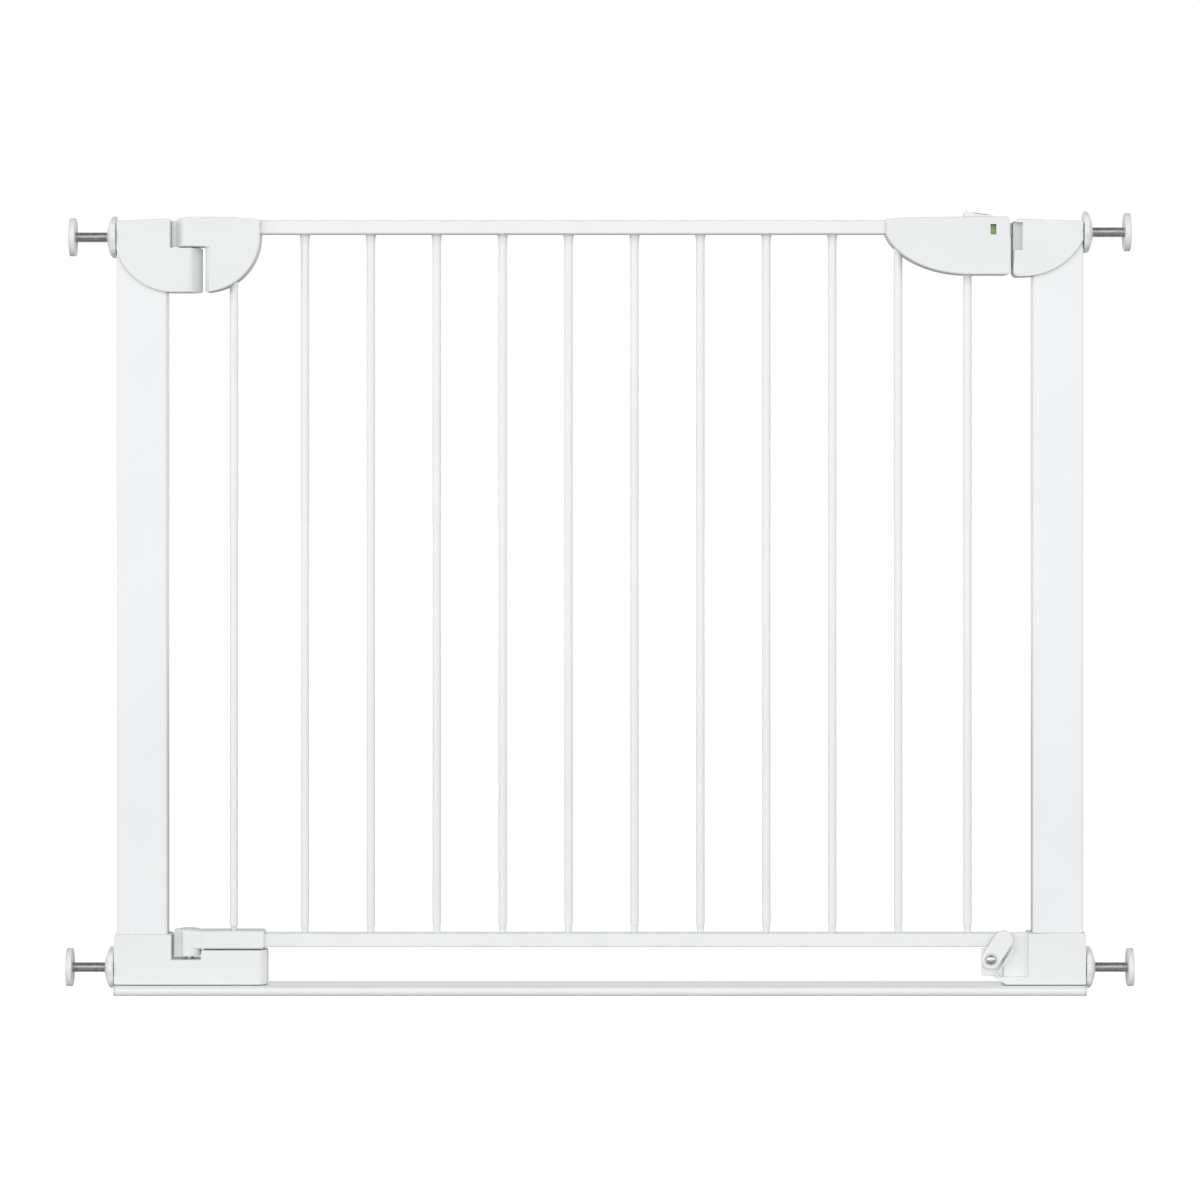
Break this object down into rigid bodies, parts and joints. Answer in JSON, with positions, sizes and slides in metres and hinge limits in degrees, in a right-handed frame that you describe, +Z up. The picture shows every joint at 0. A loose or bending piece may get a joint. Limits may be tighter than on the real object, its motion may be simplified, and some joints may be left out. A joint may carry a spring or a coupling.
{
  "type": "safety gate",
  "caption": "Pressure-fit barred safety gate with a lift-and-swing panel, sliding bolt lock, one-way stop and screw spindles with wall pads.",
  "frame": {"origin": "on the floor at the middle of the base rail, under the centre of the gate", "axes": "+X along the gate towards the catch, +Y away from the front towards the side the panel opens to, +Z up"},
  "size_m": [1.0034, 0.05, 0.736],
  "materials": {
    "painted_steel": "satin white powder coat",
    "white_moulding": "fine matte white moulding",
    "zinc_steel": "bright zinc plate",
    "soft_pad": "white non-slip face",
    "green_moulding": "leaf green moulding",
    "red_moulding": "red moulding"
  },
  "bodies": {
    "frame": {"base_rail": "painted_steel", "base_rail_cap_left": "white_moulding", "base_rail_cap_right": "white_moulding", "left_post": "painted_steel", "right_post": "painted_steel", "hinge_housing": "white_moulding", "catch_housing": "white_moulding", "base_hinge_housing": "white_moulding", "base_catch_housing": "white_moulding", "stop_bracket": "white_moulding", "stop_screw": "zinc_steel", "upper_left_rod_guide": "white_moulding", "upper_right_rod_guide": "white_moulding", "lower_left_rod_guide": "white_moulding", "lower_right_rod_guide": "white_moulding"},
    "hinge_pins": {"upper_hinge_pin": "zinc_steel", "lower_hinge_pin": "zinc_steel"},
    "gate": {"top_rail": "painted_steel", "bottom_rail": "painted_steel", "bar_01": "painted_steel", "bar_02": "painted_steel", "bar_03": "painted_steel", "bar_04": "painted_steel", "bar_05": "painted_steel", "bar_06": "painted_steel", "bar_07": "painted_steel", "bar_08": "painted_steel", "bar_09": "painted_steel", "bar_10": "painted_steel", "bar_11": "painted_steel", "bar_12": "painted_steel", "panel_hinge": "white_moulding", "lower_hinge_sleeve": "white_moulding", "rail_end_catch": "white_moulding", "handle_front": "white_moulding", "handle_back": "white_moulding", "handle_screw_1": "zinc_steel", "handle_screw_2": "zinc_steel", "bolt_spring": "zinc_steel"},
    "lock": {"thumb_slide": "white_moulding", "lock_bolt": "white_moulding", "green_flag": "green_moulding", "red_flag": "red_moulding"},
    "swing_stop": {"stop_lever": "white_moulding"},
    "upper_left_nut": {"upper_left_hand_nut": "white_moulding"},
    "upper_left_spindle": {"upper_left_rod": "zinc_steel", "upper_left_wall_pad": "soft_pad"},
    "upper_right_nut": {"upper_right_hand_nut": "white_moulding"},
    "upper_right_spindle": {"upper_right_rod": "zinc_steel", "upper_right_wall_pad": "soft_pad"},
    "lower_left_nut": {"lower_left_hand_nut": "white_moulding"},
    "lower_left_spindle": {"lower_left_rod": "zinc_steel", "lower_left_wall_pad": "soft_pad"},
    "lower_right_nut": {"lower_right_hand_nut": "white_moulding"},
    "lower_right_spindle": {"lower_right_rod": "zinc_steel", "lower_right_wall_pad": "soft_pad"}
  },
  "joints": [
    {"name": "gate_lift", "type": "slide", "parent": "frame", "child": "hinge_pins", "axis": [0, 0, 1], "range_m": [0, 0.012]},
    {"name": "gate_swing", "type": "hinge", "parent": "hinge_pins", "child": "gate", "pos_m": [-0.3864, 0, 0.4], "axis": [0, 0, 1], "range_deg": [0, 90]},
    {"name": "lock_slide", "type": "slide", "parent": "gate", "child": "lock", "axis": [1, 0, 0], "range_m": [-0.006, 0.006], "stiffness_N_per_m": 120, "springref_m": 0.012, "deforming": ["bolt_spring"]},
    {"name": "swing_stop_turn", "type": "hinge", "parent": "frame", "child": "swing_stop", "pos_m": [0.3666, 0, 0.0332], "axis": [0, -1, 0], "range_deg": [0, 125]},
    {"name": "upper_left_nut_turn", "type": "hinge", "parent": "frame", "child": "upper_left_nut", "pos_m": [-0.4543, 0, 0.7116], "axis": [1, 0, 0], "range_deg": [-961, 7681]},
    {"name": "upper_left_spindle_slide", "type": "slide", "parent": "frame", "child": "upper_left_spindle", "axis": [-1, 0, 0], "range_m": [-0.004, 0.032]},
    {"name": "upper_right_nut_turn", "type": "hinge", "parent": "frame", "child": "upper_right_nut", "pos_m": [0.4543, 0, 0.7164], "axis": [-1, 0, 0], "range_deg": [-961, 7681]},
    {"name": "upper_right_spindle_slide", "type": "slide", "parent": "frame", "child": "upper_right_spindle", "axis": [1, 0, 0], "range_m": [-0.004, 0.032]},
    {"name": "lower_left_nut_turn", "type": "hinge", "parent": "frame", "child": "lower_left_nut", "pos_m": [-0.4566, 0, 0.0248], "axis": [1, 0, 0], "range_deg": [-961, 7681]},
    {"name": "lower_left_spindle_slide", "type": "slide", "parent": "frame", "child": "lower_left_spindle", "axis": [-1, 0, 0], "range_m": [-0.004, 0.032]},
    {"name": "lower_right_nut_turn", "type": "hinge", "parent": "frame", "child": "lower_right_nut", "pos_m": [0.4566, 0, 0.0248], "axis": [-1, 0, 0], "range_deg": [-961, 7681]},
    {"name": "lower_right_spindle_slide", "type": "slide", "parent": "frame", "child": "lower_right_spindle", "axis": [1, 0, 0], "range_m": [-0.004, 0.032]}
  ],
  "couplings": [
    {"joint": "upper_left_nut_turn", "follows": "upper_left_spindle_slide", "rad_per_m": 4188.8},
    {"joint": "upper_right_nut_turn", "follows": "upper_right_spindle_slide", "rad_per_m": 4188.8},
    {"joint": "lower_left_nut_turn", "follows": "lower_left_spindle_slide", "rad_per_m": 4188.8},
    {"joint": "lower_right_nut_turn", "follows": "lower_right_spindle_slide", "rad_per_m": 4188.8}
  ]
}
